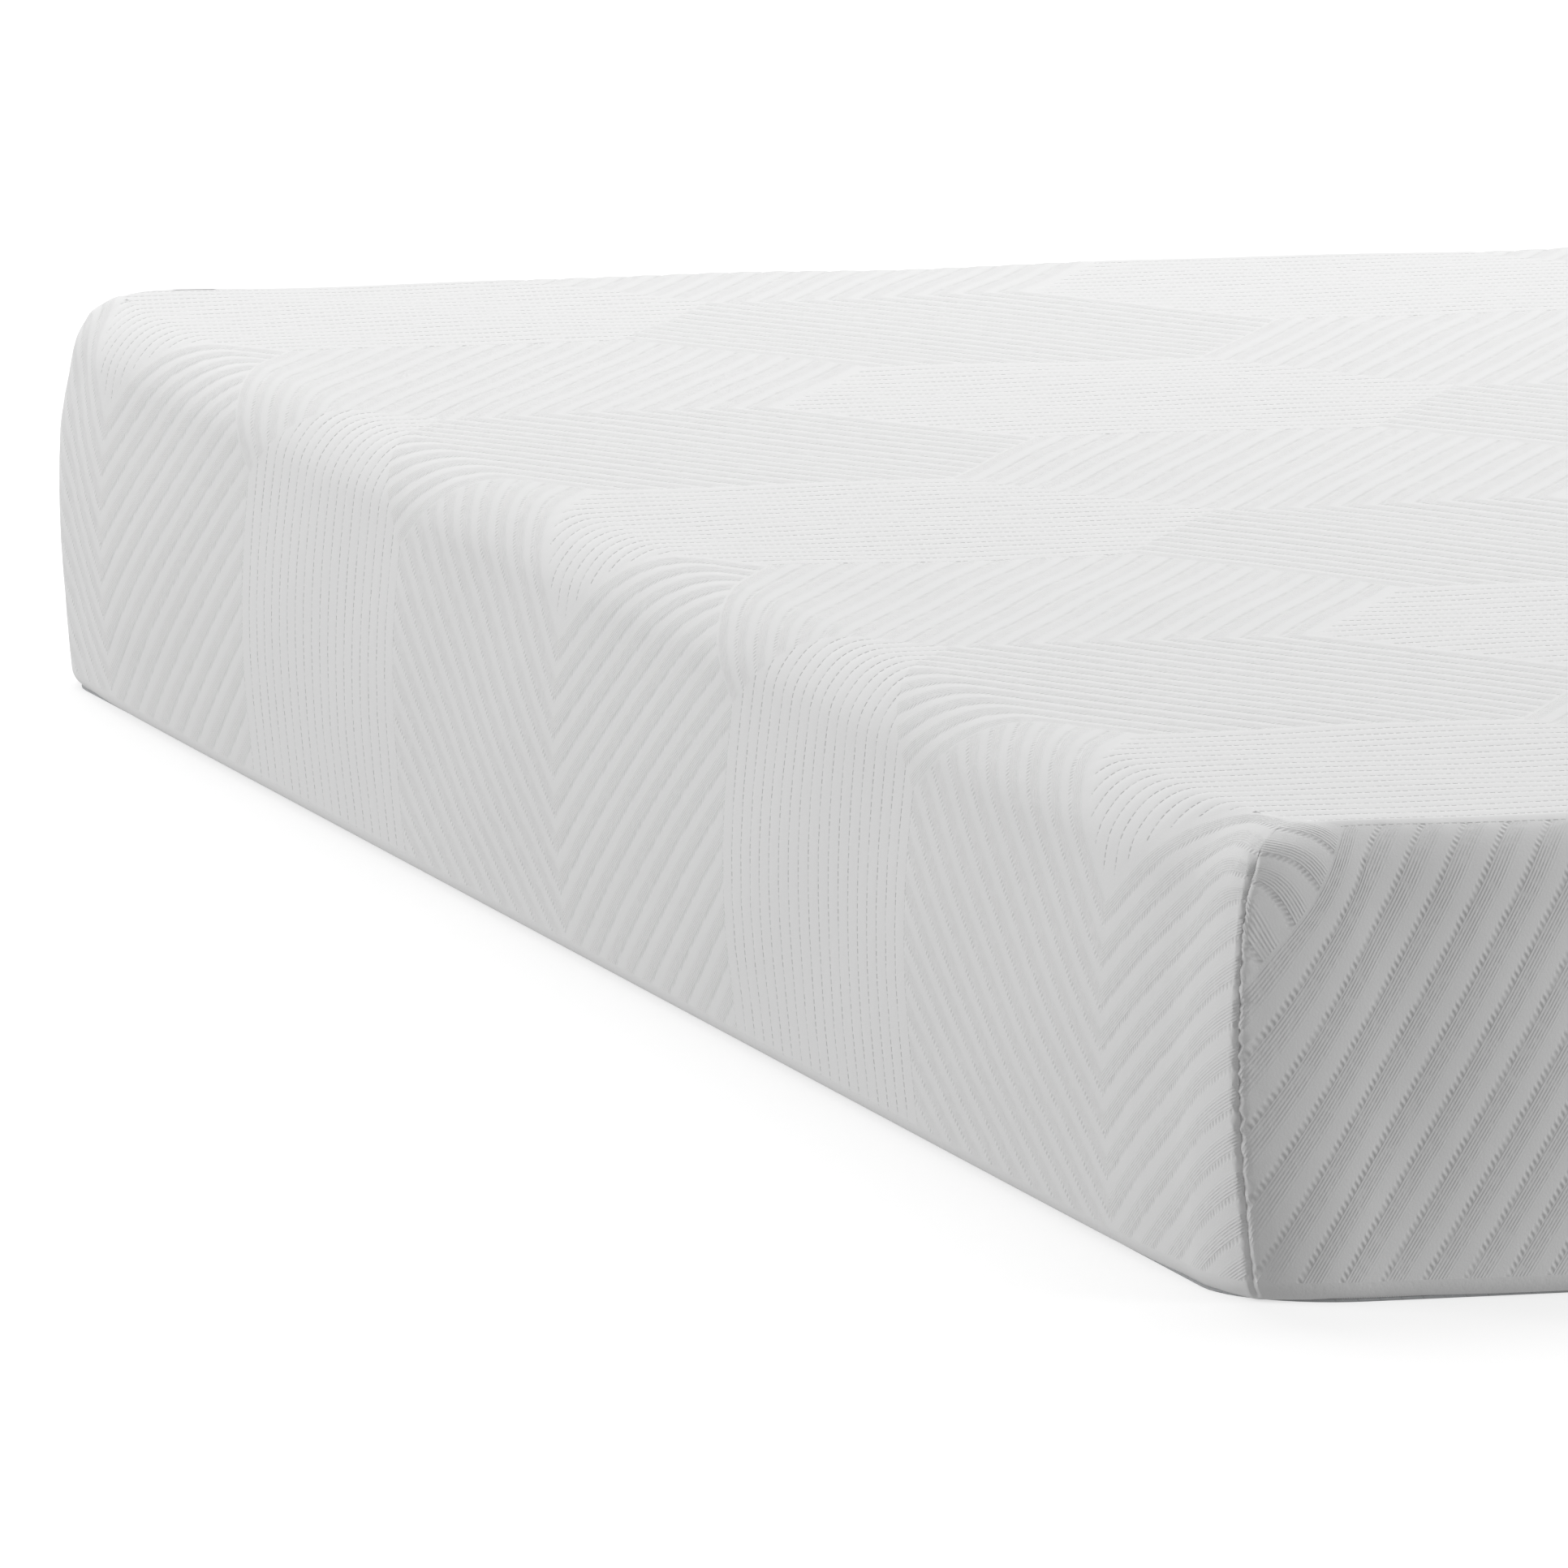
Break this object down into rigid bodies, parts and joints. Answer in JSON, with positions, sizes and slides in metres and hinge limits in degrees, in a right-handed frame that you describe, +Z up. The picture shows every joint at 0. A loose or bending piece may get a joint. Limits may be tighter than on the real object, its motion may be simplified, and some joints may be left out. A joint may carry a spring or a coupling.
{
  "type": "memory foam mattress",
  "caption": "Rectangular memory foam mattress: bonded foam layers inside a quilted, zip-off white knitted cover with round top edges and sewn corners.",
  "frame": {"origin": "centre of the underside of the mattress", "axes": "+Z up, +Y along the length towards the head end, +X across the width towards the wall with the zip slider"},
  "size_m": [1.4, 2, 0.19],
  "materials": {
    "white_knit": "matte",
    "wadding": "matte",
    "lining": "matte",
    "seam_thread": "matte",
    "label_cloth": "satin",
    "base_cloth": "matte",
    "support_foam": "matte",
    "comfort_foam": "matte",
    "memory_foam": "matte",
    "zip_tape": "matte",
    "zip_coil": "satin",
    "slider_metal": "satin"
  },
  "bodies": {
    "foam_base": {"support_foam": "support_foam", "comfort_foam": "comfort_foam", "memory_foam": "memory_foam", "base_cloth": "base_cloth", "lower_zip_tape": "zip_tape", "lower_zip_coil": "zip_coil", "lower_zip_stops": "zip_coil"},
    "cover": {"knit_cover": "white_knit", "quilt_wadding": "wadding", "quilt_lining": "lining", "corner_seams": "seam_thread", "care_label": "label_cloth", "upper_zip_tape": "zip_tape", "upper_zip_coil": "zip_coil", "upper_zip_stops": "zip_coil"},
    "slider": {"zip_slider": "slider_metal"},
    "pull": {"pull_tab": "slider_metal"}
  },
  "joints": [
    {"name": "cover_lift", "type": "slide", "parent": "foam_base", "child": "cover", "axis": [0, 0, 1], "range_m": [0, 0.35]},
    {"name": "zip_slide", "type": "slide", "parent": "foam_base", "child": "slider", "axis": [0, -1, 0], "range_m": [0, 1.75]},
    {"name": "pull_swing", "type": "hinge", "parent": "slider", "child": "pull", "pos_m": [0.6963, 0.878, 0.0105], "axis": [0, 0, -1], "range_deg": [0, 150]}
  ]
}
